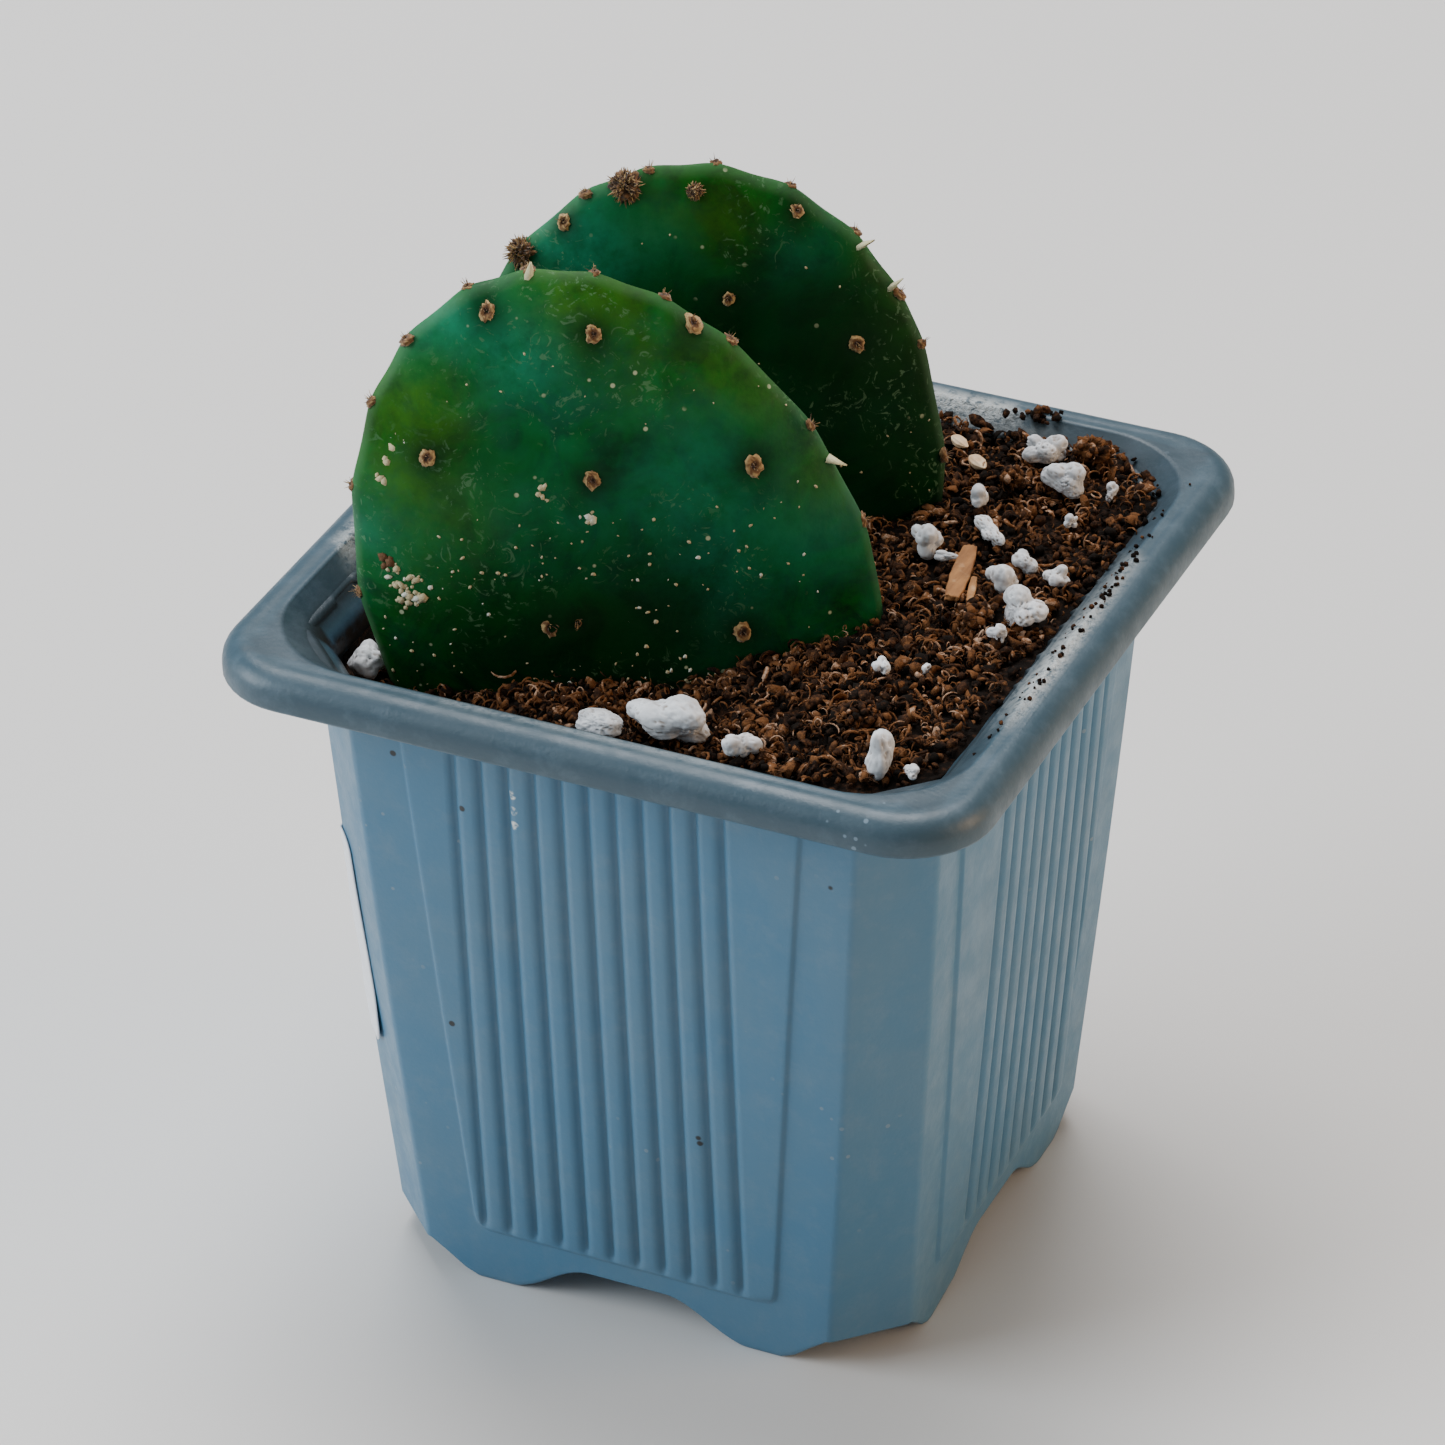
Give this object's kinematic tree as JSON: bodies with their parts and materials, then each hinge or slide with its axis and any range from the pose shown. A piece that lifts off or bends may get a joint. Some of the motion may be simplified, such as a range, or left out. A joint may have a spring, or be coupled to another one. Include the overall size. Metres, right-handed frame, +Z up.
{
  "type": "potted paddle cactus",
  "caption": "Flat-padded cactus: rooted pads standing in peat mix with perlite, in a small square fluted plastic nursery pot with a rolled rim.",
  "frame": {"origin": "middle of the pot's base, on the surface it stands on", "axes": "+Z up; -Y out of the fluted side that the front pad faces, +X out of the side that the perlite lies along, and the label is on the -X side"},
  "size_m": [0.06, 0.06, 0.0824],
  "materials": {
    "pot_plastic": "satin blue-grey moulded polypropylene, dull and slightly scuffed",
    "label_paper": "smooth white sticker",
    "peat": "loose fibrous dark brown peat",
    "pad_skin": "waxy satin deep green skin",
    "perlite": "rough matt white expanded grain",
    "husk": "dry pale husk",
    "bark": "dry tan bark"
  },
  "bodies": {
    "root": {"pot": "pot_plastic", "label": "label_paper", "soil": "peat", "pad_front": "pad_skin", "pad_rear": "pad_skin", "perlite_01": "perlite", "perlite_02": "perlite", "perlite_03": "perlite", "perlite_04": "perlite", "perlite_05": "perlite", "perlite_06": "perlite", "perlite_07": "perlite", "perlite_08": "perlite", "perlite_09": "perlite", "perlite_10": "perlite", "perlite_11": "perlite", "perlite_12": "perlite", "perlite_13": "perlite", "perlite_14": "perlite", "perlite_15": "perlite", "perlite_16": "perlite", "perlite_17": "perlite", "perlite_18": "perlite", "perlite_19": "perlite", "perlite_20": "perlite", "perlite_21": "perlite", "peat_lump_01": "peat", "peat_lump_02": "peat", "peat_lump_03": "peat", "peat_lump_04": "peat", "husk_01": "husk", "husk_02": "husk", "bark_chip_01": "bark", "bark_chip_02": "bark"}
  },
  "joints": []
}
